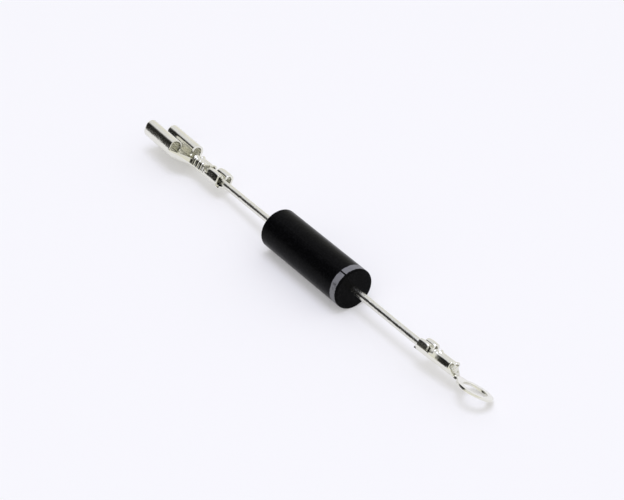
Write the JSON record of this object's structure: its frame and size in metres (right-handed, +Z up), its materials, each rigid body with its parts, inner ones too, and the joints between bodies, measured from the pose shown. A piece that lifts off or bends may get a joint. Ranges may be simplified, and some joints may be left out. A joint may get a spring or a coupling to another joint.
{
  "type": "high voltage diode",
  "caption": "Axial high voltage diode in a black moulded cylinder with a pale cathode band, a push-on tab receptacle on the anode lead and a ring terminal on the cathode lead.",
  "frame": {"origin": "the middle of the moulded body, on its axis; the surface that the diode lies on is 3.75 mm below it", "axes": "+X along the body's axis from the anode to the cathode, +Z up from the surface that the diode lies on"},
  "size_m": [0.0955, 0.0083, 0.0074],
  "materials": {
    "black_epoxy": "black moulded epoxy with a soft satin surface",
    "band_print": "pale grey printed ink",
    "tinned_wire": "bright tin plate over copper wire",
    "tinned_brass": "bright tin plate over stamped brass",
    "silicon": "lapped and etched silicon",
    "braze": "aluminium braze foil",
    "silicone": "white junction coating"
  },
  "bodies": {
    "root": {"body_moulding": "black_epoxy", "cathode_band": "band_print", "anode_lead": "tinned_wire", "cathode_lead": "tinned_wire", "tab_receptacle": "tinned_brass", "ring_terminal": "tinned_brass", "junction_coating": "silicone", "junction_chip_01": "silicon", "junction_chip_02": "silicon", "junction_chip_03": "silicon", "junction_chip_04": "silicon", "junction_chip_05": "silicon", "junction_chip_06": "silicon", "junction_chip_07": "silicon", "junction_chip_08": "silicon", "junction_chip_09": "silicon", "junction_chip_10": "silicon", "junction_chip_11": "silicon", "junction_chip_12": "silicon", "braze_foil_01": "braze", "braze_foil_02": "braze", "braze_foil_03": "braze", "braze_foil_04": "braze", "braze_foil_05": "braze", "braze_foil_06": "braze", "braze_foil_07": "braze", "braze_foil_08": "braze", "braze_foil_09": "braze", "braze_foil_10": "braze", "braze_foil_11": "braze", "braze_foil_12": "braze", "braze_foil_13": "braze"}
  },
  "joints": []
}
